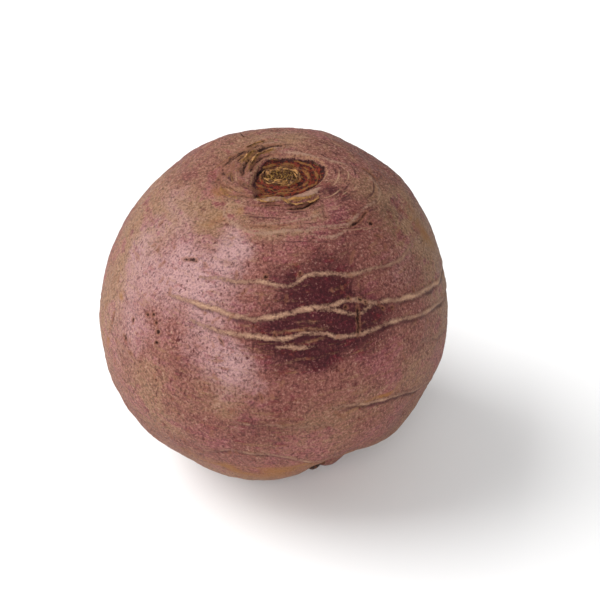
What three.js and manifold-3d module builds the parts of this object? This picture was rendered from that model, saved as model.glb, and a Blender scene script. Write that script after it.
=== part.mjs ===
// A whole beetroot, its leaves cut off at the crown, standing on its root end.
//
// The root grew as one piece, so it is one solid: a turned body whose axis bends a little on the
// way up, with broad and small swellings, a dished scar where the leaves were cut off, a small
// flat spot underneath to rest on, and the dried stub of the taproot beside that spot.
//
// Millimetres, +Z up. The resting face lies in z = 0, and the origin is the middle of the
// outline seen from above. -Y is the front.

import * as THREE from "three";
import { mergeVertices } from "three/addons/utils/BufferGeometryUtils.js";
import Module from "manifold-3d";

// ---- Driving dimensions ----

const BELLY_RADIUS = 45.2; // at the widest, a little below half height
const CROWN_HEIGHT = 80.5; // from the resting face to the middle of the crown scar
const SCAR_RADIUS = 9.5; // of the dish left by the cut leaf stalks
const SCAR_DEPTH = 0.9; // of that dish below its rim
const TAPROOT_RADIUS = 3.4; // of the dried stub where it leaves the body
const TAPROOT_LENGTH = 6.3; // of the stub, most of it inside the body

const TURNS = 72; // facets round the body
const CROWN_STEPS = 14; // rows of facets from the scar's middle to the shoulder
const SIDE_STEPS = 30; // rows from the shoulder down to the root base
const STUB_TURNS = 14;

const radians = THREE.MathUtils.degToRad;

// ---- The turned body ----

// Radius as a share of the belly's, height as a share of the crown's, from the top down.
const CROWN_OUTLINE = [
  [(0.2 * SCAR_RADIUS) / BELLY_RADIUS, 1],
  [(0.75 * SCAR_RADIUS) / BELLY_RADIUS, 1],
  [(1.1 * SCAR_RADIUS) / BELLY_RADIUS, 1 + SCAR_DEPTH / CROWN_HEIGHT],
  [0.36, 0.999],
  [0.49, 0.975],
];
const SIDE_OUTLINE = [
  [0.69, 0.903],
  [0.87, 0.775],
  [0.975, 0.62],
  [1.0, 0.5],
  [0.96, 0.345],
  [0.825, 0.18],
  [0.6, 0.066],
  [0.33, 0.009],
];
const AXIS_TOP = [0, 1];
const AXIS_BOTTOM = [0, -0.015]; // the resting face cuts this tip off

function bodyProfile() {
  const outline = [AXIS_TOP, ...CROWN_OUTLINE, ...SIDE_OUTLINE, AXIS_BOTTOM];
  const curve = new THREE.SplineCurve(
    outline.map(([radius, height]) => new THREE.Vector2(radius * BELLY_RADIUS, height * CROWN_HEIGHT)),
  );
  const shoulder = (1 + CROWN_OUTLINE.length) / (outline.length - 1); // where the close rows end
  const points = [];
  for (let i = 0; i <= CROWN_STEPS; i++) points.push(curve.getPoint((shoulder * i) / CROWN_STEPS));
  for (let i = 1; i <= SIDE_STEPS; i++) {
    points.push(curve.getPoint(shoulder + ((1 - shoulder) * i) / SIDE_STEPS));
  }
  points[0].x = 0;
  points.at(-1).x = 0;
  return points.reverse(); // upwards, so that the faces point out
}

// ---- The bend of its axis ----

const CROWN_OFFSET = new THREE.Vector2(3, 1); // crown's middle, from the belly's
const ROOT_OFFSET = new THREE.Vector2(4, -5); // root's middle, from the belly's
const BELLY_HEIGHT = 42;

// How far the ring at this height is pushed off the belly's axis.
function axisOffset(height) {
  const end = height > BELLY_HEIGHT ? CROWN_OFFSET : ROOT_OFFSET;
  const reach = height > BELLY_HEIGHT ? CROWN_HEIGHT - BELLY_HEIGHT : BELLY_HEIGHT;
  const share = Math.min(Math.abs(height - BELLY_HEIGHT) / reach, 1.1);
  return end.clone().multiplyScalar(share ** 1.5);
}

// ---- Swellings and hollows ----

const HEART = new THREE.Vector3(0, 0, 40); // the point that they are seen from
const BROAD_SPREAD = 24; // degrees
const SMALL_SPREAD = 11;

// [turn anticlockwise from +X in degrees, rise above level in degrees, height in mm].
const BROAD_SWELLINGS = [
  [37, 51, 1.7],
  [90, 63, 2.7], // the shoulder behind the crown
  [143, 51, 1.9],
  [169, 29, 0.8],
  [187, 5, -0.3],
  [205, -19, 0.7],
  [231, -39, -1.4],
  [270, -47, -2.2],
  [309, -39, -3.5], // flattened above the taproot
  [335, -19, -1.8],
  [60, -12, 1.4], // the three on the back
  [115, -22, -1.6],
  [128, 14, 1.0],
];
const SMALL_SWELLINGS = [
  [22, 41, 0.4],
  [37, 51, -0.3],
  [59, 60, 0.8],
  [121, 60, 0.6],
  [157, 40, -0.5],
  [170, 29, 0.1],
  [216, -30, 0.4],
  [231, -39, -0.5],
  [249, -45, 0.3],
  [270, -47, -0.45],
  [291, -45, 0.7],
  [293, -35, -2.7], // the furrow that the taproot lies under, in three
  [304, -49, -4.8],
  [332, -23, -2.2],
  [309, -39, -0.8],
  [324, -30, 0.3],
  [345, -7, 0.85],
  [82, 8, 0.5],
  [100, -35, 0.5],
  [140, -14, -0.6],
];

// The unit vector at that turn and rise.
function towards([turn, rise]) {
  const level = Math.cos(radians(rise));
  return new THREE.Vector3(
    level * Math.cos(radians(turn)),
    level * Math.sin(radians(turn)),
    Math.sin(radians(rise)),
  );
}

const SWELLINGS = [
  ...BROAD_SWELLINGS.map((s) => ({ way: towards(s), height: s[2], spread: radians(BROAD_SPREAD) })),
  ...SMALL_SWELLINGS.map((s) => ({ way: towards(s), height: s[2], spread: radians(SMALL_SPREAD) })),
];

// Moves one point of the body out or in along its line from the heart.
function swell(point) {
  const way = point.clone().sub(HEART).normalize();
  let out = 0;
  for (const { way: middle, height, spread } of SWELLINGS) {
    out += height * Math.exp(-((way.angleTo(middle) / spread) ** 2));
  }
  return point.addScaledVector(way, out);
}

function bodyGeometry() {
  const geometry = new THREE.LatheGeometry(bodyProfile(), TURNS).rotateX(Math.PI / 2);
  const position = geometry.getAttribute("position");
  const point = new THREE.Vector3();
  for (let i = 0; i < position.count; i++) {
    point.fromBufferAttribute(position, i);
    const offset = axisOffset(point.z);
    point.x += offset.x;
    point.y += offset.y;
    swell(point);
    position.setXYZ(i, point.x, point.y, point.z);
  }
  return geometry;
}

// ---- The taproot's dried stub ----

const STUB_START = new THREE.Vector3(13, -14, 6); // inside the body
const STUB_WAY = new THREE.Vector3(0.45, -0.38, -0.81).normalize();

// Radius as a share of the stub's, place along it as a share of its length.
const STUB_OUTLINE = [
  [0, 0],
  [1, 0.02],
  [1, 0.5],
  [0.8, 0.8],
  [0.45, 0.97],
  [0, 1],
];

function stubGeometry() {
  const profile = STUB_OUTLINE.map(
    ([radius, along]) => new THREE.Vector2(radius * TAPROOT_RADIUS, along * TAPROOT_LENGTH),
  );
  const turn = new THREE.Quaternion().setFromUnitVectors(new THREE.Vector3(0, 1, 0), STUB_WAY);
  return new THREE.LatheGeometry(profile, STUB_TURNS)
    .applyQuaternion(turn)
    .translate(STUB_START.x, STUB_START.y, STUB_START.z);
}

// ---- Joining, and the flat spot ----

const wasm = await Module();
wasm.setup();

// A closed three.js geometry as a manifold-3d solid.
function toSolid(geometry) {
  const bare = geometry.clone();
  bare.deleteAttribute("normal");
  bare.deleteAttribute("uv");
  const merged = mergeVertices(bare, 1e-4);
  const faces = [];
  for (let i = 0; i < merged.index.count; i += 3) {
    const [a, b, c] = merged.index.array.slice(i, i + 3);
    if (a !== b && b !== c && c !== a) faces.push(a, b, c);
  }
  const vertProperties = merged.getAttribute("position").array;
  return new wasm.Manifold(
    new wasm.Mesh({ numProp: 3, vertProperties, triVerts: new Uint32Array(faces) }),
  );
}

// A manifold-3d solid as a three.js geometry.
function toGeometry(solid) {
  const { vertProperties, triVerts } = solid.getMesh();
  return new THREE.BufferGeometry()
    .setAttribute("position", new THREE.BufferAttribute(vertProperties, 3))
    .setIndex(new THREE.BufferAttribute(triVerts, 1));
}

const FLOOR_SIDE = 4 * BELLY_RADIUS;

function beetrootGeometry() {
  const floor = new THREE.BoxGeometry(FLOOR_SIDE, FLOOR_SIDE, FLOOR_SIDE).translate(0, 0, -FLOOR_SIDE / 2);
  const whole = toSolid(bodyGeometry()).add(toSolid(stubGeometry())).subtract(toSolid(floor));
  const geometry = toGeometry(whole);
  geometry.computeBoundingBox();
  const middle = geometry.boundingBox.getCenter(new THREE.Vector3());
  geometry.translate(-middle.x, -middle.y, 0);
  geometry.computeVertexNormals();
  return geometry;
}

// ---- The part ----

const skin = new THREE.MeshStandardMaterial({ color: 0x7d5a5c, roughness: 0.6, metalness: 0 });
const beetroot = new THREE.Mesh(beetrootGeometry(), skin);
beetroot.name = "beetroot";

const part = new THREE.Group();
part.add(beetroot);

export default part;
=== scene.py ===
# %% [markdown]
# # A beetroot, grown in Blender
# A stored beetroot is one swollen root. Its shape is simple, and nearly all that the eye reads as
# "beetroot" is skin: corky growth lines that run round it, a scar where the leaves were cut off,
# nicks, pits and patches of cork over plum-coloured flesh. The measured solid gives the shape
# here, and this lesson grows a fine skin on it. Lengths are in millimetres times MM, and a place
# on the root is often given as a turn, in degrees anticlockwise from +X, and a rise above level,
# both seen from a point in the middle called the heart.

import math

import bmesh
import bpy
import numpy as np
from mathutils import Matrix, Vector, kdtree, noise
from mathutils.bvhtree import BVHTree


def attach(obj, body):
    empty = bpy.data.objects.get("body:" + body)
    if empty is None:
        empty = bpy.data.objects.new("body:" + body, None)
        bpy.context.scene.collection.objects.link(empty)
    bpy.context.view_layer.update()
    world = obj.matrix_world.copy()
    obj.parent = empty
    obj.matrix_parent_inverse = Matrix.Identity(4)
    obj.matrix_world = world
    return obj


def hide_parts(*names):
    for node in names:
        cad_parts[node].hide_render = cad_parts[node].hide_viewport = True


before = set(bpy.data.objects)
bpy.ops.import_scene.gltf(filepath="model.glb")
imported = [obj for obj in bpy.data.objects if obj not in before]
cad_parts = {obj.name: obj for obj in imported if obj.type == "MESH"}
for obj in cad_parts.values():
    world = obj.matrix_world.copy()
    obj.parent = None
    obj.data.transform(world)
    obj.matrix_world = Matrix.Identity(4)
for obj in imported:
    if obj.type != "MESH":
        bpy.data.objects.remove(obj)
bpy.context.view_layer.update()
MM = 0.001

# %% [markdown]
# ## Camera
# The camera looks down at the root from in front, with a long lens so that the shape isn't
# stretched. It aims a little to the right of the root, which leaves room for the shadow.

# %% Camera
LENS = 100
SENSOR = 36
ELEVATION = math.radians(35)
AIM = Vector((6.9, -0.3, 44.4)) * MM
DISTANCE = 432.3 * MM

camera_data = bpy.data.cameras.new("camera")
camera_data.lens = LENS
camera_data.sensor_width = SENSOR
camera = bpy.data.objects.new("camera", camera_data)
bpy.context.scene.collection.objects.link(camera)
bpy.context.scene.camera = camera
backwards = Vector((0, -math.cos(ELEVATION), math.sin(ELEVATION)))
camera.location = AIM + DISTANCE * backwards
camera.rotation_euler = backwards.to_track_quat("Z", "Y").to_euler()
print("camera at, mm:", [round(c / MM) for c in camera.location])

# %% [markdown]
# ## One function for nodes
# A material is a list of nodes, each with settings and links. This function adds one node and
# gives back the output that the next node needs, so a pattern reads as a few nested calls.

# %% Colours and nodes
def linear(text):
    """An sRGB hex colour as the linear values that shaders work in."""
    values = [int(text[i : i + 2], 16) / 255 for i in (1, 3, 5)]
    curve = [v / 12.92 if v <= 0.04045 else ((v + 0.055) / 1.055) ** 2.4 for v in values]
    return (*curve, 1.0)


def add(tree, kind, settings=None, inputs=None, output=0):
    """Adds a node, sets its settings, links or fills its inputs, and returns one output."""
    node = tree.nodes.new(kind)
    for name, value in (settings or {}).items():
        setattr(node, name, value)
    for name, value in (inputs or {}).items():
        if isinstance(value, bpy.types.NodeSocket):
            tree.links.new(value, node.inputs[name])
        else:
            node.inputs[name].default_value = value
    return node.outputs[output]


def new_material(name):
    material = bpy.data.materials.new(name)
    material.use_nodes = True
    material.node_tree.nodes.clear()
    return material, material.node_tree


# %% [markdown]
# ## Floor and light
# The root stands on a sheet of white paper under soft studio light. A large lamp high on the
# left, a little behind, gives the shadow on the right. A smaller, weaker one in front fills the
# near side, and the white surroundings do the rest.

# %% Floor
FLOOR_SIDE = 6.0
floor_mesh = bpy.data.meshes.new("floor")
bm = bmesh.new()
bmesh.ops.create_grid(bm, x_segments=1, y_segments=1, size=FLOOR_SIDE / 2)
bm.to_mesh(floor_mesh)
bm.free()
floor = bpy.data.objects.new("floor", floor_mesh)
bpy.context.scene.collection.objects.link(floor)

paper, tree = new_material("white_paper")
shader = add(tree, "ShaderNodeBsdfDiffuse", {}, {"Color": linear("#f4f4f4")})
tree.links.new(shader, tree.nodes.new("ShaderNodeOutputMaterial").inputs["Surface"])
floor_mesh.materials.append(paper)

# %% [markdown]
# Both lamps are square and large, which makes their shadows soft. Each is placed by the way it
# lies in from the heart of the root, and turned to face it.

# %% Lamps
HEART = Vector((0, 0, 40)) * MM
LAMPS = {
    # name: (turn, rise, distance in m, side in m, watts)
    "key": (170, 43, 2.5, 2.2, 84),
    "fill": (267, 27, 2.5, 1.6, 39),
}


def towards(turn, rise):
    level = math.cos(math.radians(rise))
    return Vector(
        (
            level * math.cos(math.radians(turn)),
            level * math.sin(math.radians(turn)),
            math.sin(math.radians(rise)),
        )
    )


for name, (turn, rise, distance, side, watts) in LAMPS.items():
    lamp_data = bpy.data.lights.new(name, "AREA")
    lamp_data.size = side
    lamp_data.energy = watts
    lamp = bpy.data.objects.new(name, lamp_data)
    lamp.location = HEART + distance * towards(turn, rise)
    lamp.rotation_euler = towards(turn, rise).to_track_quat("Z", "Y").to_euler()
    bpy.context.scene.collection.objects.link(lamp)

world = bpy.data.worlds.new("white_room")
world.use_nodes = True
background = world.node_tree.nodes["Background"]
background.inputs["Color"].default_value = (1, 1, 1, 1)
background.inputs["Strength"].default_value = 0.44
bpy.context.scene.world = world
bpy.context.scene.view_settings.view_transform = "Standard"

# %% [markdown]
# ## A fine skin over the solid
# The solid is a few thousand flat facets, which would show. A denser ball of even squares is
# laid over it: a cube is cut into a grid, blown up to a sphere seen from the heart, and every
# corner is moved out along its own line until it meets the solid. Averaging those distances
# with their neighbours then melts the facets away, and keeps the size.

# %% Skin grid
GRID = 128  # squares along each side of the cube: 0.55 mm each on the finished skin
MELTING = 60  # rounds of averaging

bm = bmesh.new()
bmesh.ops.create_cube(bm, size=2)
bmesh.ops.subdivide_edges(bm, edges=bm.edges[:], cuts=GRID - 1, use_grid_fill=True)
skin_mesh = bpy.data.meshes.new("beetroot_skin")
bm.to_mesh(skin_mesh)
bm.free()

count = len(skin_mesh.vertices)
ways = np.empty(count * 3)
skin_mesh.vertices.foreach_get("co", ways)
ways = np.tan(ways.reshape(-1, 3) * math.pi / 4)  # even squares after the next line
ways /= np.linalg.norm(ways, axis=1, keepdims=True)

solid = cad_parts["beetroot"].data
tree_of_solid = BVHTree.FromPolygons(
    [v.co for v in solid.vertices], [p.vertices for p in solid.polygons]
)
reach = np.array([tree_of_solid.ray_cast(HEART, Vector(way))[3] for way in ways])

pairs = np.empty(len(skin_mesh.edges) * 2, int)
skin_mesh.edges.foreach_get("vertices", pairs)
one, other = pairs.reshape(-1, 2).T
neighbours = np.bincount(one, minlength=count) + np.bincount(other, minlength=count)
for _ in range(MELTING):
    around = np.bincount(one, reach[other], count) + np.bincount(other, reach[one], count)
    reach = (reach + around / neighbours) / 2
place = np.array(HEART) + ways * reach[:, None]
place[:, 2] = np.maximum(place[:, 2], 0)  # the flat spot that it rests on
print("skin:", count, "corners; reach in mm:", round(reach.min() / MM, 1), round(reach.max() / MM, 1))


def outward():
    """Moves the skin to its present places and returns the outward direction at each."""
    skin_mesh.vertices.foreach_set("co", place.ravel())
    skin_mesh.update()
    directions = np.empty(count * 3)
    skin_mesh.vertex_normals.foreach_get("vector", directions)
    return directions.reshape(-1, 3)


normals = outward()
surface = BVHTree.FromPolygons(place.tolist(), [p.vertices for p in skin_mesh.polygons])

# %% [markdown]
# ## Where the marks are
# Growth lines, cracks and scars are drawn as lines on the skin, with a few points each. A smooth
# curve goes through the points, and every corner of the skin then learns how far it is from the
# nearest curve. Distances make good patterns, because a shader can cut them anywhere and
# roughen the cut with noise, so that a line drawn on a coarse grid still gets a crisp edge.

# %% Points on the skin
def on_side(turn, rise):
    """The point of the skin at a turn and rise, in metres."""
    return np.array(surface.ray_cast(HEART, towards(turn, rise))[0])


def on_top(x, y):
    """The point of the skin under a place seen from above, given in mm."""
    return np.array(surface.ray_cast(Vector((x * MM, y * MM, 0.2)), Vector((0, 0, -1)))[0])


def smooth_line(points, spacing=0.3 * MM):
    """A smooth curve through the points, as closely spaced points."""
    points = np.asarray(points)
    ends = [2 * points[0] - points[1], *points, 2 * points[-1] - points[-2]]
    pieces = []
    for before, start, end, after in zip(ends, ends[1:], ends[2:], ends[3:]):
        steps = max(2, int(np.linalg.norm(end - start) / spacing))
        t = np.linspace(0, 1, steps, endpoint=False)[:, None]
        bend = 2 * before - 5 * start + 4 * end - after
        twist = 3 * (start - end) + after - before
        pieces.append(start + t * (end - before) / 2 + t * t * bend / 2 + t**3 * twist / 2)
    return np.concatenate(pieces)


noise.seed_set(5)  # or else noise_vector starts from the clock, anew in each run


def wander(points, wave, size, seed):
    """Moves points by smooth noise with that wave length and size, both in metres."""
    shift = Vector((seed, 2.7 * seed, -1.3 * seed))
    moved = [noise.noise_vector(Vector(p) / wave + shift) for p in points]
    return points + size * np.array(moved)


def uneven(line, width, seed, taper=7):
    """A half width in mm at each point of a line, which swells, shrinks and tapers to its ends."""
    steps = np.minimum(np.arange(len(line)), np.arange(len(line))[::-1])
    shift = Vector((seed, 0, 0))
    swell = np.array([noise.noise(Vector(p) / (4 * MM) + shift) for p in line])
    return width * np.minimum(1, steps * 0.3 / taper) ** 0.5 * (1 + 0.7 * swell)


def inside(lines, widths, furthest=3):
    """How far each corner of the skin is inside the nearest line, in mm; negative outside it."""
    points = np.concatenate(lines)
    tree = kdtree.KDTree(len(points))
    for i, point in enumerate(points):
        tree.insert(point, i)
    tree.balance()
    found = [tree.find(corner)[1:] for corner in place]
    away = np.array([f[1] for f in found]) / MM
    width = np.concatenate(widths)[[f[0] for f in found]]
    return np.clip(width - away, -furthest, furthest)


# %% [markdown]
# ## Growth lines
# As the root swells, its skin splits in rings and heals with cork. Each healed split is a low
# tan welt, broken and uneven, with a shallow furrow under it that is darkened with painted shade.
# The list gives each line's points and how wide it is. They carry on round the back. The furrow is
# the same curve moved down the skin.

# %% Growth lines
GROWTH_LINES = [
    # (half width in mm, points as turn and rise)
    (0.30, [(238, 43), (251, 44.5), (261, 45), (268, 44.6), (278, 43.4), (287, 45.9), (296, 44.8),
                 (304, 42.7), (312, 42), (321, 40.3), (331, 38.7), (345, 40)]),
    (0.48, [(228, 34), (241, 35.2), (248, 34.8), (254, 34.2), (261, 33.7), (271, 34.3), (282, 35.8),
                (294, 35.5), (299, 36), (309, 32.5), (314, 31), (322, 28.7), (336, 24.6), (352, 20.3),
                (14, 17), (40, 15), (66, 19), (92, 22), (118, 21), (140, 24)]),
    (0.29, [(286, 35.8), (292, 34.2), (297, 32.4), (302, 31), (308, 31.5), (313, 31)]),
    (0.38, [(240, 30), (246, 29.4), (252, 28.6), (262, 28.3), (273, 27.7), (281, 28.7), (288, 27.8),
                (294, 26), (306, 24.6), (314, 24.5), (326, 20.7), (339, 17.2), (350, 13.5), (10, 11),
                (35, 8), (60, 9), (82, 13)]),
    (0.36, [(271, 25.4), (276, 25.2), (281, 24.6), (286, 24.3)]),
    (0.32, [(289, 3.5), (297, 2), (305, 0.2), (317, -3.5), (334, -12), (352, -20), (15, -22), (40, -18)]),
    (0.11, [(258, 0), (268, -1), (277, -1.6), (290, -3)]),
    (0.26, [(246, -17), (252, -15), (260, -12.8), (274, -14.8), (285, -20.8), (297, -27)]),
    (0.15, [(325, 12), (335, 8), (345, 4), (358, 1), (15, 0)]),
    (0.34, [(20, 36), (45, 33), (70, 37), (95, 41), (120, 39), (145, 42)]),
    (0.26, [(75, -4), (100, -8), (130, -5), (158, -9), (180, -6)]),
    (0.22, [(130, 8), (150, 5), (168, 7), (185, 4)]),
    (0.24, [(90, -30), (130, -33), (170, -30), (215, -34)]),
]

FURROW_DROP = 0.9  # mm below its welt

growth_lines = [
    wander(smooth_line([on_side(*p) for p in points]), 4 * MM, 0.45 * MM, 3 + i)
    for i, (_, points) in enumerate(GROWTH_LINES)
]
welt_widths = [uneven(line, g[0], i) for i, (g, line) in enumerate(zip(GROWTH_LINES, growth_lines))]
shaded_furrows = [line - np.array((0, 0, FURROW_DROP * MM)) for line in growth_lines]
furrow_widths = [
    uneven(line, 1.3 * g[0], 9 + i) for i, (g, line) in enumerate(zip(GROWTH_LINES, shaded_furrows))
]
line_in = inside(growth_lines, welt_widths)
shaded_furrow_in = inside(shaded_furrows, furrow_widths)
print("growth lines:", len(growth_lines), "with", sum(len(line) for line in growth_lines), "points")

# %% [markdown]
# ## The crown
# The leaves grew from the crown, and left a scar with a fibrous heart when they were cut. Rings
# of old leaf bases lie round it. All of that is drawn from above, in millimetres.

# %% Crown outlines
SCAR = [(-4.5, -0.8), (-3.7, 2.4), (-2.1, 5.8), (0.5, 7.4), (6.2, 7.2), (9.5, 6.4), (12.2, 4.6), (13.4, 2),
        (12.6, -1.2), (10.8, -4), (8.3, -6.9), (4.9, -8.7), (0.4, -9.6), (-2.4, -10.2), (-4.3, -9.4),
        (-4, -6.7), (-4.9, -3.8)]
# The hollow is a real dent. Its black arc is a painted shadow under the far rim of the scar.
HOLLOW = [(-3.4, 1.2), (-2.2, 3.2), (0.2, 4.3), (2.8, 4.6), (5.4, 4)]  # the dark arc behind the fibres
HOLLOW_HALF_WIDTH = 0.5
FIBRES = [(-3.1, 0.3), (-0.9, 3), (2, 3.9), (5.4, 3), (7.1, 0.3), (4.9, -2.9), (1.5, -3.8), (-1.3, -2.9)]
FIBRE_MIDDLE = (2.2, 0.2)  # the rings of fibre are ellipses round this place
FIBRE_HALF_SIZE = (5.4, 4.1)
BARK_MIDDLE = (-5.5, 7)  # the thickest of the old bark, behind the scar on the left
BARK_HALF_SIZE = (4.5, 5.5)
COLLAR = (8, -4, 24)  # middle and radius of the collar that the crown stands in


def inside_mm(outline, x, y):
    """How far each place is inside a closed outline, in mm; negative outside it."""
    closed = [*outline[-2:], *outline, *outline[:2]]
    curve = smooth_line(np.array([(a, b, 0) for a, b in closed]), 0.15)[:, :2]
    middle = np.mean(outline, axis=0)
    angle = np.arctan2(curve[:, 1] - middle[1], curve[:, 0] - middle[0])
    radius = np.hypot(curve[:, 0] - middle[0], curve[:, 1] - middle[1])
    order = np.argsort(angle)
    at = np.arctan2(y - middle[1], x - middle[0])
    edge = np.interp(at, angle[order], radius[order], period=2 * math.pi)
    return edge - np.hypot(x - middle[0], y - middle[1])


x_mm, y_mm, z_mm = place.T / MM
on_crown = z_mm > 70
scar_in = np.clip(np.where(on_crown, inside_mm(SCAR, x_mm, y_mm), -3), -3, 3)
fibres_in = np.clip(np.where(on_crown, inside_mm(FIBRES, x_mm, y_mm), -3), -3, 3)
hollow_line = smooth_line([on_top(*p) for p in HOLLOW])
shaded_hollow_in = inside([hollow_line], [np.full(len(hollow_line), HOLLOW_HALF_WIDTH)])
rim = np.clip(0.4 - np.abs(scar_in + 0.25), -3, 1)
from_bark = (np.column_stack((x_mm, y_mm)) - BARK_MIDDLE) / BARK_HALF_SIZE
bark = 1.2 * np.exp(-(from_bark[:, 0] ** 2) - from_bark[:, 1] ** 2) * on_crown
from_fibres = (np.column_stack((x_mm, y_mm)) - FIBRE_MIDDLE) / FIBRE_HALF_SIZE
ring_number = np.linalg.norm(from_fibres, axis=1)  # 1 at the edge of the fibrous heart
round_fibres = from_fibres / ring_number[:, None]
polar = np.column_stack((2.2 * round_fibres, 7 * ring_number))  # noise read here runs in rings
ring = np.sin(16 * ring_number)
from_collar = np.hypot(x_mm - COLLAR[0], y_mm - COLLAR[1]) - COLLAR[2]
collar = np.where(on_crown, np.clip(-from_collar / 8, -1.5, 0.6), -1.5)

# %% [markdown]
# The old leaf bases stand up as ridges with dark gaps between them, and dry golden fibre fills
# some of the gaps. The longest are drawn one by one. The rest are short arcs from a seeded
# generator, all of them round the middle of the scar.

# %% Crown lines
CROWN_WELTS = [
    # (half width in mm, points seen from above, in mm)
    (0.90, [(-4.5, -10.9), (-0.7, -11), (2.1, -11), (4.9, -10.7), (9.3, -8.4), (12, -5)]),  # lip
    (0.36, [(-11.6, -11.5), (-10.8, -14.7), (-8, -18.3), (-5.2, -20.5), (-1.6, -21.4), (2.2, -21.1),
                (7.6, -20.6), (10.4, -19.6), (13.1, -18.8), (16.7, -17.6), (18.9, -16.3), (21, -13.2),
                (23, -9.8), (25.4, -5.8), (26.4, -1.8), (24.8, 1.7), (21.9, 3.5)]),  # collar
    (0.28, [(7.6, -20.8), (10.4, -21.5), (13.1, -21.4), (17.2, -19.4), (18.6, -17.4)]),
    (0.22, [(-5.2, -18.1), (-0.6, -18.7), (4.4, -18.3), (6.8, -17.7), (10.4, -16.3), (14.3, -14.6)]),
    (0.40, [(-3, 8.4), (0.2, 8.7), (3.7, 8.6), (7.7, 8.1), (12, 6.1), (16.2, 5), (21, 3.8)]),  # ridge
    (0.30, [(-6, 0), (-5.6, 3.6), (-3.7, 7), (-1.4, 9.2), (2, 10.2), (6, 10)]),
    (0.30, [(-8.2, -1), (-7.6, 3), (-6.3, 6.8), (-4.2, 10), (-0.4, 12.2), (4, 12.4)]),
    (0.28, [(-9.4, 9.2), (-6.8, 11.4), (-3.6, 13.9), (1, 14.6), (6, 13.8)]),
    (0.38, [(-19.5, 14), (-17.5, 16.5), (-14.5, 18.5), (-11, 19.6)]),
]
CROWN_CRACKS = [
    (0.34, [(-7.3, -1), (-6.7, 2.4), (-5.7, 5.6), (-4.2, 7.8), (-2, 10), (0.6, 11.2), (3.6, 11.4)]),
    (0.30, [(-5.4, 0.8), (-4.5, 3.6), (-2.6, 6.4), (-0.4, 8), (2.2, 8.4)]),
    (0.21, [(-6.2, 8.2), (-4.6, 10.6), (-2.4, 12.2)]),
    (0.20, [(-8.9, 9.6), (-6.4, 12.2), (-3.9, 13.2), (-1, 13.5)]),
    (0.25, [(3.8, -14), (7.4, -13.8), (9.8, -11.7), (11.6, -9)]),  # under the torn flake
    (0.14, [(-4.4, -12.6), (-0.6, -13.2), (3.2, -13)]),
    (0.29, [(-2.4, 0.6), (-1.2, 3.4), (1.4, 4.5), (4, 4.5), (6.8, 3.7)]),  # behind the fibres
    (0.17, [(-14.6, -15), (-12.5, -15.6), (-10.7, -15.6)]),
    (0.24, [(18.9, -17.4), (21.5, -14), (23.6, -10.4)]),
    (0.26, [(22.2, 5.2), (24.6, 3.9), (26.4, 2)]),
    (0.17, [(-4.6, -18.9), (0, -19.4), (4.2, -19)]),
]

ARCS = 22  # more old leaf bases behind the scar, as short broken arcs
arc_rng = np.random.default_rng(3)


def leaf_base_arc():
    """A few points of a short arc round the back left of the scar, seen from above in mm."""
    start, ring, sweep = arc_rng.uniform(90, 215), arc_rng.uniform(1.75, 3.3), arc_rng.uniform(12, 45)
    turns_of_arc = np.radians(start + sweep * np.linspace(0, 1, 4))
    rings = ring + arc_rng.uniform(-0.12, 0.12) * np.arange(4)
    (x, y), (wide, deep) = FIBRE_MIDDLE, FIBRE_HALF_SIZE
    return [(x + wide * r * math.cos(t), y + deep * r * math.sin(t)) for r, t in zip(rings, turns_of_arc)]


CROWN_CRACKS += [(arc_rng.uniform(0.08, 0.26), leaf_base_arc()) for _ in range(ARCS)]
GOLDEN_GAPS = [
    # (half width in mm, points seen from above): dry golden fibre between the old leaf bases
    (0.45, [(-6.2, 0), (-5.4, 3.4), (-3.9, 6.6), (-1.4, 8.7), (1.6, 9.8), (5, 9.8)]),
    (0.35, [(-8.2, 0), (-7.6, 4), (-6, 7.2), (-3.6, 9.2)]),
    (0.4, [(-7.6, 9), (-5.4, 11.4), (-2.8, 12.8), (1, 12.9)]),
    (0.5, [(-4.7, -8.8), (-2.8, -10.8), (0.8, -11.2), (4.6, -11.2), (8, -10.4), (11, -8.2)]),
]

GOLDEN_GAPS += [(arc_rng.uniform(0.15, 0.4), leaf_base_arc()) for _ in range(ARCS)]


def drawn_on_top(marks, wave, size, seed, taper):
    """How far each corner of the skin is inside marks drawn from above, in mm."""
    lines = [
        wander(smooth_line([on_top(*p) for p in points]), wave * MM, size * MM, seed + i)
        for i, (_, points) in enumerate(marks)
    ]
    return inside(lines, [uneven(c, m[0], i, taper) for i, (m, c) in enumerate(zip(marks, lines))])


ridge_in = drawn_on_top(CROWN_WELTS, wave=3, size=0.4, seed=80, taper=4)
gold_in = drawn_on_top(GOLDEN_GAPS, wave=2, size=0.5, seed=60, taper=2)
print("crown:", len(CROWN_WELTS), "ridges and", len(CROWN_CRACKS), "cracks")

# %% [markdown]
# ## Nicks, cracks and pits
# Handling and growth left short cracks and nicks. Most nicks on the lower half run up and down.
# Some are placed where they show on this root, and a seeded generator scatters the rest.

# %% Cracks on the side
SIDE_CRACKS = [
    # (half width in mm, points as turn and rise)
    (0.32, [(302.3, 33.5), (301, 29), (299.5, 24)]),
    (0.30, [(226, 46), (230, 46.8), (234.9, 47.3)]),
    (0.17, [(237.6, 47.6), (240.7, 46.2)]),
    (0.26, [(204.1, 17), (204.3, 14), (204, 12)]),
    (0.24, [(204.5, 10.5), (204, 8)]),
    (0.30, [(213, 14), (216, 12.5)]),
    (0.24, [(218, 10), (221, 10.5)]),
]
SIDE_PITS = [
    # (half width in mm, turn, rise)
    (0.7, 216, 20.3), (0.6, 222, 25), (0.6, 224.5, 26), (0.6, 227, 24.2), (0.7, 228.8, 21.9),
    (0.6, 229.5, 18.5), (0.7, 330, 52.8), (0.5, 300, 36.3), (0.6, 304, 34.8), (0.5, 306, 33.4),
    (0.5, 298, 34), (0.5, 312, 29.5), (0.5, 316, 28.2), (0.6, 268, 46.5), (0.5, 283, 46.7),
]
rng = np.random.default_rng(7)
NICKS = 260
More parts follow.
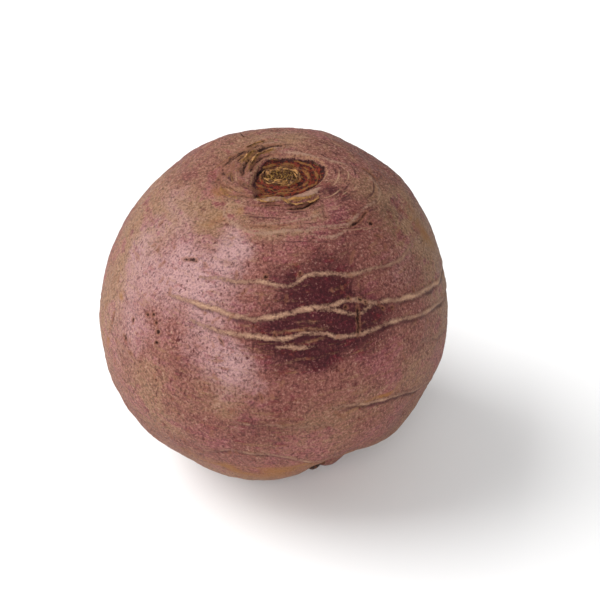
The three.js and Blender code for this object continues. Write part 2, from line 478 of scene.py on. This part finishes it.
for _ in range(NICKS):
    turn, rise = rng.uniform(0, 360), math.degrees(math.asin(rng.uniform(-0.7, 0.75)))
    lean, length = rng.normal(0, 0.6), rng.uniform(0.8, 3.2)
    end = (turn + length * lean / math.cos(math.radians(rise)), rise + length)
    SIDE_CRACKS.append((rng.uniform(0.05, 0.2), [(turn, rise), end]))

cracks = [smooth_line([on_top(*p) for p in c[1]]) for c in CROWN_CRACKS]
cracks += [smooth_line([on_side(*p) for p in c[1]]) for c in SIDE_CRACKS]
cracks = [wander(line, 2.5 * MM, 0.5 * MM, 40 + i) for i, line in enumerate(cracks)]
crack_widths = [
    uneven(line, c[0], i, 1) for i, (c, line) in enumerate(zip(CROWN_CRACKS + SIDE_CRACKS, cracks))
]
for width, turn, rise in SIDE_PITS:
    cracks.append(on_side(turn, rise)[None, :])
    crack_widths.append([0.7 * width])
crack_in = inside(cracks, crack_widths)
print("cracks and pits:", len(cracks))

# %% [markdown]
# ## Stains
# The skin isn't one colour. Plum shows where the cork is thin, tan where it is thick, and a grey
# wax bloom lies on the left, made paler there with a painted sheen on the side that the key lamp
# lights. Each stain is a soft round patch, stretched round the root or up it.

# %% Stains
STAINS = {
    # kind: (strength, turn, rise, half width in degrees round, half height in degrees)
    "plum": [
        (1.15, 288, 33, 22, 9), (0.9, 280, 24, 16, 7), (0.5, 306, 24, 12, 7), (0.6, 280, 44, 14, 7),
        (0.5, 302, 48, 16, 7), (0.3, 318, 57, 14, 6), (0.8, 337, 69, 10, 5), (0.3, 272, 6, 16, 9),
        (0.3, 292, -4, 24, 5), (0.3, 280, 27, 12, 5), (0.4, 343, 56, 14, 12),
        (0.3, 262, -6, 10, 8), (0.3, 240, 14, 10, 8), (0.5, 100, 5, 30, 14), (0.5, 30, -10, 22, 10),
        (0.6, 150, 30, 20, 8), (0.4, 60, 40, 24, 8),
    ],
    "tan": [
        (0.7, 196, 20, 14, 50), (0.8, 225, 64, 26, 9), (0.6, 100, 72, 70, 14), (0.9, 355, 20, 18, 45),
        (0.8, 270, -42, 140, 17), (0.5, 345, 46, 12, 12), (0.6, 228, -2, 14, 16), (0.7, 285, 65, 28, 5),
        (0.4, 325, 0, 14, 16), (0.5, 255, 6, 10, 8), (0.4, 296, 2, 20, 8), (0.4, 285, -8, 20, 8),
        (0.6, 170, 45, 30, 16), (0.5, 40, 25, 30, 24), (0.6, 90, -25, 60, 18), (0.5, 130, 5, 18, 16),
    ],
    "ochre": [
        (0.8, 354, 36, 4, 9), (0.7, 203, 22.5, 3, 2), (0.6, 205, 73, 12, 2.5), (0.6, 243, 66, 5, 1.5),
        (0.8, 306, 1, 9, 1.4), (0.7, 204, 5, 3, 2.5), (0.7, 262, -24, 26, 3), (0.35, 285, -30, 30, 6),
        (0.5, 225, 62, 8, 2), (0.7, 30, 10, 6, 3), (0.7, 110, 30, 5, 4),
    ],
    # bloom: real grey wax, and on the front left also a painted sheen where the key lamp falls
    "bloom_and_sheen": [
        (0.9, 236, 44, 24, 12), (0.7, 212, 24, 18, 20), (0.6, 246, 26, 9, 14), (0.8, 257, 17, 8, 10),
        (0.9, 252, 56, 12, 6), (0.5, 200, 40, 10, 8), (0.4, 330, 36, 12, 10), (0.5, 190, 56, 30, 8),
        (0.5, 150, -8, 40, 14), (0.5, 60, 0, 24, 10),
    ],
}
from_heart = place - np.array(HEART)
turns = np.degrees(np.arctan2(from_heart[:, 1], from_heart[:, 0]))
rises = np.degrees(np.arcsin(from_heart[:, 2] / np.linalg.norm(from_heart, axis=1)))
ragged = (wander(place, 9 * MM, 3 * MM, 5) - place) / MM


def stain(patches):
    total = np.zeros(count)
    for strength, turn, rise, wide, tall in patches:
        round_it = (turns + 2 * ragged[:, 0] - turn + 180) % 360 - 180
        up_it = rises + 2 * ragged[:, 2] - rise
        total += strength * np.exp(-((round_it / wide) ** 2) - (up_it / tall) ** 2)
    return np.clip(total, 0, 1)


stains = {kind: stain(patches) for kind, patches in STAINS.items()}
print("stains:", {kind: round(float(value.mean()), 2) for kind, value in stains.items()})

# %% [markdown]
# ## Relief
# Welts, furrows, cracks and the dish of the scar are real shape, not paint, so that they show in
# the outline and catch the light. All of them move the skin along its outward direction. The
# flat spot underneath stays flat.

# %% Relief
def bump_of(field, width):
    """0 outside a mark, rising smoothly to 1 at that many mm inside it."""
    share = np.clip(field / width + 0.5, 0, 1)
    return share * share * (3 - 2 * share)


def turbulence(size, seed):
    """Fractal noise on the skin, with lumps of that size in mm."""
    shift = Vector((seed, 0, 0))
    return np.array([noise.fractal(Vector(p) / (size * MM) + shift, 0.8, 2.1, 4) for p in place])


TAPROOT_FURROW = (0.5, -62, -38, 20, 11)  # mm deep, then turn, rise and half sizes in degrees

rough, lumps = turbulence(1.8, 0), turbulence(8, 9)
height = 0.3 * lumps + 0.07 * rough  # mm
height += (0.16 + 0.2 * rough) * bump_of(line_in, 0.7)
height -= 0.16 * bump_of(shaded_furrow_in, 0.8)
height += (0.3 + 0.25 * rough) * bump_of(ridge_in, 0.8)
height += (0.2 + 0.3 * rough) * bump_of(gold_in, 0.6)
height -= 0.5 * bump_of(crack_in, 0.7)
height -= bump_of(scar_in, 1.4) * (0.85 - 0.5 * rough)
height += bump_of(fibres_in, 1.5) * (0.5 + 0.3 * rough)
height -= 0.3 * np.exp(-((from_collar / 3) ** 2)) * on_crown
deep, turn, rise, wide, tall = TAPROOT_FURROW
height -= deep * np.exp(-(((turns - turn) / wide) ** 2) - ((rises - rise) / tall) ** 2)
height -= 0.6 * bump_of(shaded_hollow_in, 0.8)
height += 0.15 * ring * bump_of(scar_in, 1)
height += 0.25 * bark * turbulence(1.1, 30)
grounded = np.clip(place[:, 2] / (2 * MM), 0, 1)
place += normals * (height * grounded * MM)[:, None]
place[:, 2] = np.maximum(place[:, 2], 0)
outward()
surface = BVHTree.FromPolygons(place.tolist(), [p.vertices for p in skin_mesh.polygons])
print("relief, mm:", round(height.min(), 2), "to", round(height.max(), 2))

# %% [markdown]
# ## The marks go with the skin
# Each field is kept as an attribute of the mesh, where the material can read it.

# %% Keep the marks on the skin
FIELDS = {
    "line_in": line_in,
    "shaded_furrow_in": shaded_furrow_in,
    "ridge_in": ridge_in,
    "gold_in": gold_in,
    "crack_in": crack_in,
    "shaded_hollow_in": shaded_hollow_in,
    "rim": rim,
    "ring": ring,
    "collar": collar,
    "bark": bark,
    "scar_in": np.clip(scar_in, -3, 1),
    "fibres_in": np.clip(fibres_in, -3, 1),
    **stains,
}
for name, values in FIELDS.items():
    field = skin_mesh.attributes.new(name, "FLOAT", "POINT")
    field.data.foreach_set("value", values.astype(np.float32))
field = skin_mesh.attributes.new("polar", "FLOAT_VECTOR", "POINT")
field.data.foreach_set("vector", polar.astype(np.float32).ravel())
skin_mesh.shade_smooth()
skin = bpy.data.objects.new("beetroot_skin", skin_mesh)
bpy.context.scene.collection.objects.link(skin)
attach(skin, "root")
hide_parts("beetroot")

# %% [markdown]
# ## Skin material
# Raw beetroot skin is plum flesh under a thin, dry layer of cork. It was never polished, so it is
# dull, with a faint wax. The colour is built from the flesh outwards, and each layer is the same
# recipe: add up some marks and noises, each with a weight, cut the sum softly between two levels,
# and lay a colour there. A table of those recipes is easy to read and to change.
#
# The clouds and patches are as large as they are on a root. Real cork has a grain of about
# 0.3 mm, which is too fine to show from here, so its grain and crumbs are drawn twice as coarse.

# %% Noises
cork_skin, tree = new_material("raw_beetroot_skin")
coordinates = add(tree, "ShaderNodeTexCoord", output="Object")
mm = add(tree, "ShaderNodeVectorMath", {"operation": "SCALE"}, {0: coordinates, "Scale": 1 / MM})
NOISES = {
    # name: (size of its lumps in mm, detail, roughness, stretch along X, Y and Z)
    "cloud": (13, 4, 0.6, (1, 1, 0.8)),
    "patch": (3.6, 6, 0.7, (1.2, 1.2, 0.7)),
    "grain": (0.75, 6, 0.75, (1, 1, 1)),
    "crumb": (0.55, 4, 0.75, (1, 1, 1)),
    "band": (1.8, 5, 0.62, (4, 4, 0.5)),
    "nick": (0.9, 3, 0.6, (0.8, 0.8, 2.6)),
}
source = {}
for name in FIELDS:
    source[name] = add(tree, "ShaderNodeAttribute", {"attribute_name": name}, output="Fac")
for name, (size, detail, roughness, stretch) in NOISES.items():
    lump = [size * s for s in stretch]
    scaled = add(tree, "ShaderNodeVectorMath", {"operation": "DIVIDE"}, {0: mm, 1: lump})
    settings = {"Vector": scaled, "Scale": 1, "Detail": detail, "Roughness": roughness}
    source[name] = add(tree, "ShaderNodeTexNoise", {}, settings)

polar = add(tree, "ShaderNodeAttribute", {"attribute_name": "polar"}, output="Vector")
settings = {"Vector": polar, "Scale": 1, "Detail": 4, "Roughness": 0.6}
source["swirl"] = add(tree, "ShaderNodeTexNoise", {}, settings)

# %% [markdown]
# The layers lie in the order in which the root got them: flesh and cork first, then growth
# lines and the crown, then the scar, and last the cracks, which cut through everything.

# %% Layers of colour
GROUND = "#7c4a42"
LAYERS = [
    # (name, colour, most it covers, level where it starts, level where it is full, {source: weight})
    ("thin cork", "#937055", 0.9, 1.8, 2.7, {"tan": 1.2, "patch": 2.0, "band": 0.6, "cloud": 1.0}),
    ("rosy skin", "#8f4c55", 0.6, 1.0, 1.16, {"cloud": 1.0, "patch": 1.0}),
    # grey bloom: partly real wax, partly a painted sheen on the lit left side
    ("grey bloom and painted sheen", "#ad8786", 0.9, 1.8, 2.9, {"bloom_and_sheen": 1.3, "cloud": 0.8, "patch": 1.6, "grain": 0.8}),
    ("bare plum", "#3a0c16", 0.93, 1.75, 3.2, {"plum": 1.6, "cloud": 0.5, "patch": 2.0, "band": 0.8}),
    ("wine blotches", "#6b1a28", 0.45, 0.54, 0.64, {"patch": 1.0}),
    ("light mottling", "#bd9184", 0.35, 1.05, 1.22, {"grain": 1.2, "crumb": 0.9, "plum": -0.1}),
    ("dark mottling", "#330f15", 0.2, -0.98, -0.84, {"grain": -1.2, "crumb": -0.8}),
    ("cork bands", "#96725a", 0.35, 1.62, 1.95, {"band": 2.0, "grain": 1.0, "tan": 0.15}),
    ("cork flecks", "#b8957c", 0.6, 1.16, 1.34, {"grain": 1.6, "crumb": 0.5, "tan": 0.08, "plum": -0.08}),
    ("pale crumbs", "#d2b39d", 0.5, 1.26, 1.42, {"crumb": 1.6, "grain": 0.5, "plum": -0.06}),
    ("scratches", "#4a1217", 0.75, -0.38, -0.32, {"nick": -1.0}),
    ("ochre stains", "#94652f", 0.7, 1.3, 2.2, {"ochre": 1.0, "patch": 1.0, "band": 1.2, "grain": 0.4}),
    ("crown swirl", "#a9866a", 0.75, 1.45, 1.68, {"swirl": 2.0, "collar": 0.5}),
    ("dark swirl", "#35121a", 0.75, -0.33, -0.2, {"swirl": -1.0, "collar": 0.2}),
    # painted shade: the furrow under each welt is darkened as the shadow below the welt
    ("shaded_furrows", "#320e17", 0.75, 0.7, 1.4, {"shaded_furrow_in": 1.0, "grain": 2.0}),
    ("growth lines", "#9a7460", 0.85, 1.15, 1.75, {"line_in": 1.0, "grain": 2.4, "patch": 0.8}),
    ("crest of the lines", "#bf9a7c", 0.6, 1.8, 2.25, {"line_in": 1.0, "crumb": 2.6, "patch": 0.9}),
    ("crown ridges", "#a2806c", 0.8, 0.7, 1.3, {"ridge_in": 1.0, "grain": 2.0}),
    ("bark", "#2c110d", 0.9, -0.05, 0.25, {"bark": 1.0, "swirl": -2.0}),
    ("golden bark", "#9c7244", 0.8, 2.15, 2.4, {"bark": 1.0, "swirl": 2.0, "crumb": 0.6}),
    ("golden fibre", "#a5773f", 0.9, 1.0, 1.5, {"gold_in": 1.0, "crumb": 2.2}),
    ("scar rim", "#a1795a", 0.75, 1.15, 1.6, {"rim": 1.0, "crumb": 2.4}),
    ("scar", "#2c100f", 1.0, 1.5, 2.1, {"scar_in": 1.0, "grain": 3.0}),
    ("rust in the scar", "#853523", 0.9, 2.45, 2.85, {"scar_in": 1.0, "grain": 3.2}),
    ("scar rings", "#8f6236", 0.75, 2.5, 2.9, {"scar_in": 1.0, "swirl": 2.6, "ring": 0.3, "crumb": 0.5}),
    # painted shadow: the hollow behind the fibres is blackened as the shade under the far rim
    ("painted shadow in the hollow", "#120808", 0.95, 0.7, 1.2, {"shaded_hollow_in": 1.0, "grain": 1.8}),
    ("fibre heart", "#3a200f", 0.9, 1.6, 2.2, {"fibres_in": 1.0, "grain": 3.0}),
    ("gold in the heart", "#b98a49", 1.0, 2.45, 2.8, {"fibres_in": 1.0, "crumb": 3.0}),
    ("crack edges", "#8a5a44", 0.5, 0.1, 0.5, {"crack_in": 1.0, "grain": 1.4}),
    ("cracks", "#230b0b", 0.95, 0.45, 0.8, {"crack_in": 1.0, "crumb": 1.2}),
]

LAST_MOTTLED = "wine blotches"
mottle = add(tree, "ShaderNodeMath", {}, {0: source["grain"], 1: source["crumb"]})
levels = {"Value": mottle, "From Min": 0.8, "From Max": 1.2, "To Min": 0.45, "To Max": 1.5}
mottle = add(tree, "ShaderNodeMapRange", {}, levels)
colour = linear(GROUND)
covered = {}
for name, shade, most, start, full, weights in LAYERS:
    total = 0.0
    for part, weight in weights.items():
        terms = {0: source[part], 1: weight, 2: total}
        total = add(tree, "ShaderNodeMath", {"operation": "MULTIPLY_ADD"}, terms)
    levels = {"Value": total, "From Min": start, "From Max": full, "To Max": most}
    covered[name] = add(tree, "ShaderNodeMapRange", {"interpolation_type": "SMOOTHSTEP"}, levels)
    settings = {"data_type": "RGBA"}
    colour = add(tree, "ShaderNodeMix", settings, {0: covered[name], 6: colour, 7: linear(shade)}, 2)
    if name == LAST_MOTTLED:  # the grain darkens and lightens everything laid so far
        colour = add(tree, "ShaderNodeVectorMath", {"operation": "SCALE"}, {0: colour, "Scale": mottle})

# %% [markdown]
# ## Fine relief and gloss
# Grain finer than the squares of the mesh is left to a bump. The layers that stand proud or lie
# deep in it are the same ones that carry colour, so their light and shade fit their edges.

# %% Fine relief and gloss
PROUD = {
    # layer: how far it stands proud, as a share of the bump's distance
    "cork flecks": 0.5,
    "pale crumbs": 0.5,
    "cork bands": 0.3,
    "growth lines": 0.5,
    "golden fibre": 0.8,
    "gold in the heart": 1.2,
    "scar rings": 0.8,
    "light mottling": 0.4,
    "dark mottling": -0.5,
    "scratches": -0.8,
    "cracks": -1.2,
}
relief = source["grain"]
for name, amount in PROUD.items():
    terms = {0: covered[name], 1: amount, 2: relief}
    relief = add(tree, "ShaderNodeMath", {"operation": "MULTIPLY_ADD"}, terms)
bump = add(tree, "ShaderNodeBump", {}, {"Strength": 1.0, "Distance": 0.24 * MM, "Height": relief})
levels = {"Value": source["grain"], "From Min": 0.35, "From Max": 0.65, "To Min": 0.45, "To Max": 0.68}
roughness = add(tree, "ShaderNodeMapRange", {}, levels)
finish = {"Base Color": colour, "Roughness": roughness, "Normal": bump}
finish |= {"IOR": 1.42, "Specular IOR Level": 0.16}  # dusty cork hardly shines
shader = add(tree, "ShaderNodeBsdfPrincipled", {}, finish)
tree.links.new(shader, tree.nodes.new("ShaderNodeOutputMaterial").inputs["Surface"])
skin_mesh.materials.append(cork_skin)
print("skin material:", len(tree.nodes), "nodes")

# %% [markdown]
# ## Dry fibre
# Where leaves and rootlets died, the plant leaves dry, woody fibre: golden where it was torn
# lately, and nearly black where it is old. It has no gloss. Each strand is a ring extruded from
# point to point, which keeps it closed, and a little noise makes it ragged.

# %% Fibre material and strands
def dry_fibre(name, dark, light):
    """A dull, woody material, streaked between two colours."""
    material, tree = new_material(name)
    coordinates = add(tree, "ShaderNodeTexCoord", output="Object")
    mm = add(tree, "ShaderNodeVectorMath", {"operation": "SCALE"}, {0: coordinates, "Scale": 1 / MM})
    pattern = {"Vector": mm, "Scale": 0.8, "Detail": 5, "Roughness": 0.7}  # streaks about 1 mm wide
    streaks = add(tree, "ShaderNodeTexNoise", {}, pattern)
    levels = {"Value": streaks, "From Min": 0.38, "From Max": 0.62}
    share = add(tree, "ShaderNodeMapRange", {"interpolation_type": "SMOOTHSTEP"}, levels)
    shades = {0: share, 6: linear(dark), 7: linear(light)}
    colour = add(tree, "ShaderNodeMix", {"data_type": "RGBA"}, shades, 2)
    finish = {"Base Color": colour, "Roughness": 0.8, "IOR": 1.45}
    shader = add(tree, "ShaderNodeBsdfPrincipled", {}, finish)
    tree.links.new(shader, tree.nodes.new("ShaderNodeOutputMaterial").inputs["Surface"])
    return material


torn_fibre = dry_fibre("dry_leaf_fibre", "#4a2a18", "#ac7c46")
old_fibre = dry_fibre("old_root_fibre", "#1f0d08", "#5e331c")


def strand(bm, points, radii, sides=6):
    """Extrudes a ring through the points, in metres, with a radius in mm at each, and closes it."""
    steps = np.gradient(np.array(points), axis=0)
    rings = []
    for point, step, radius in zip(points, steps, radii):
        turned = Vector(step).to_track_quat("Z", "Y").to_matrix().to_4x4()
        rings.append(Matrix.Translation(Vector(point)) @ turned @ Matrix.Scale(radius * MM, 4))
    verts = bmesh.ops.create_circle(bm, radius=1, segments=sides, matrix=rings[0])["verts"]
    edges = list({edge for vert in verts for edge in vert.link_edges})
    first = edges
    for before, after in zip(rings, rings[1:]):
        new = bmesh.ops.extrude_edge_only(bm, edges=edges)["geom"]
        verts = [part for part in new if isinstance(part, bmesh.types.BMVert)]
        nearby = {edge for vert in verts for edge in vert.link_edges}
        edges = [edge for edge in nearby if all(vert in verts for vert in edge.verts)]
        bmesh.ops.transform(bm, matrix=after @ before.inverted(), verts=verts)
    bmesh.ops.edgeloop_fill(bm, edges=first)
    bmesh.ops.edgeloop_fill(bm, edges=edges)


def finish_piece(bm, name, ragged_mm, material):
    """Roughens a fibre piece, turns its faces outwards and hands it over."""
    for vert in bm.verts:
        vert.co += noise.noise_vector(vert.co / (0.9 * MM)) * ragged_mm * MM
        vert.co.z = max(vert.co.z, 0.05 * MM)
    bmesh.ops.recalc_face_normals(bm, faces=bm.faces[:])
    mesh = bpy.data.meshes.new(name)
    bm.to_mesh(mesh)
    bm.free()
    mesh.shade_smooth()
    mesh.materials.append(material)
    piece = bpy.data.objects.new(name, mesh)
    bpy.context.scene.collection.objects.link(piece)
    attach(piece, "root")
    print(name, len(mesh.polygons), "faces")


# %% [markdown]
# ## Fibres in the scar
# The cut leaf bundles frayed into short curved fibres that lie in rings round the heart of the
# scar. Each is a strand of four points on an arc, half sunk in the skin.

# %% Fibres in the scar
FIBRE_COUNT = 90
FIBRE_REACH = (4.9, 3.7)  # half sizes of the outermost ring of fibres, in mm
bm = bmesh.new()
for _ in range(FIBRE_COUNT):
    turn, ring_share = rng.uniform(0, 2 * math.pi), rng.uniform(0.5, 1.05) ** 0.7
    bend, lift = rng.uniform(0.25, 0.8), rng.uniform(-0.1, 0.35)
    points = []
    for share in (0, 0.35, 0.7, 1):
        angle, reach_out = turn + bend * share, ring_share * (1 - 0.12 * share)
        x = FIBRE_MIDDLE[0] + FIBRE_REACH[0] * reach_out * math.cos(angle)
        y = FIBRE_MIDDLE[1] + FIBRE_REACH[1] * reach_out * math.sin(angle)
        points.append(on_top(x, y) + np.array((0, 0, (lift * (1 + share) - 0.1) * MM)))
    strand(bm, points, [0.1, 0.2, 0.16, 0.05], sides=5)
finish_piece(bm, "scar_fibres", 0.12, torn_fibre)

# %% [markdown]
# ## Torn flakes
# Below the scar a golden flake of old leaf base has torn loose and curls up at its edge, and
# smaller ones stand above and behind it. A flake is a grid bent along a curve and given a thickness.

# %% Torn flakes
FLAKES = [
    # (half width in mm, curl in mm, points along it seen from above, in mm)
    (0.9, 0.5, [(2.6, -11.6), (5.2, -12.4), (8, -12), (10.4, -10.2), (11.4, -8.6)]),
    (0.6, 0.4, [(-3.4, -11.3), (-1, -12), (1.6, -12)]),
    (0.3, 0.3, [(-5.2, 4), (-4.2, 6.8), (-2.2, 8.8), (0.8, 9.8)]),
    (0.25, 0.3, [(-7.4, 4.6), (-6, 7.4), (-4, 9.4)]),
    (0.3, 0.3, [(-6.4, 10.8), (-4.2, 12.6), (-1.6, 13.3)]),
]
THICKNESS = 0.18  # mm
bm = bmesh.new()
for width, curl, points in FLAKES:
    along = smooth_line([on_top(*p) for p in points])
    grid = bmesh.ops.create_grid(bm, x_segments=24, y_segments=4, size=1)["verts"]
    for vert in grid:
        share, across = (vert.co.x + 1) / 2, vert.co.y
        i = min(int(share * (len(along) - 1)), len(along) - 2)
        step = Vector(along[i + 1] - along[i]).normalized()
        aside = Vector((0, 0, 1)).cross(step)
        ragged_edge = 1 + 0.5 * noise.noise(Vector((share * 9, across, width * 7)))
        reach_out = width * across * ragged_edge * math.sqrt(max(0.04, 1 - (2 * share - 1) ** 4))
        rise_up = curl * ((1 - across) / 2) ** 2 + 0.05
        vert.co = Vector(along[i]) + aside * reach_out * MM + Vector((0, 0, rise_up * MM))
    faces = list({face for vert in grid for face in vert.link_faces})
    bmesh.ops.solidify(bm, geom=faces, thickness=THICKNESS * MM)
finish_piece(bm, "torn_flakes", 0.15, torn_fibre)

# %% [markdown]
# ## Scraps of the root tail
# The thin end of the taproot broke off when the root was pulled. What is left under the belly is
# a twist of dry brown rootlets and crumbs, with a whisker more on the shoulder.

# %% Scraps of the root tail
ROOTLETS = [
    # (radius in mm at the thick end, points as turn, rise and mm out of the skin)
    (0.9, [(290, -46, 0.2), (292, -47, 1.0), (294, -48, 1.1), (297, -49, 0.8)]),
    (0.8, [(294, -48, 0.3), (297, -48, 1.3), (300, -47.5, 1.3), (303, -47, 1.1)]),
    (0.7, [(299, -47, 0.4), (302, -46.5, 1.3), (305, -46, 1.3), (308, -46, 1.4)]),
    (1.1, [(297, -49, 0.3), (299, -49.5, 1.6), (301, -50, 1.1)]),
    (0.35, [(302, -46, 0.6), (305, -45, 1.6), (307, -44.5, 1.8), (309, -45, 2.0)]),
    (0.3, [(293, -47, 0.6), (295, -48.5, 1.6), (297, -50, 1.9)]),
]
bm = bmesh.new()
for radius, points in ROOTLETS:
    spots = [on_side(*p[:2]) + p[2] * MM * np.array(towards(*p[:2])) for p in points]
    curve = smooth_line(spots, 0.5 * MM)
    strand(bm, curve, [radius * (1 - 0.75 * i / len(curve)) for i in range(len(curve))], sides=8)
shoulder = on_side(113, 67)
whisker = [shoulder + np.array((-0.4 * i, 0.1 * i, 0.45 * i - 0.3)) * MM for i in range(4)]
strand(bm, whisker, [0.2, 0.18, 0.12, 0.04])
finish_piece(bm, "root_tail_scraps", 0.3, old_fibre)
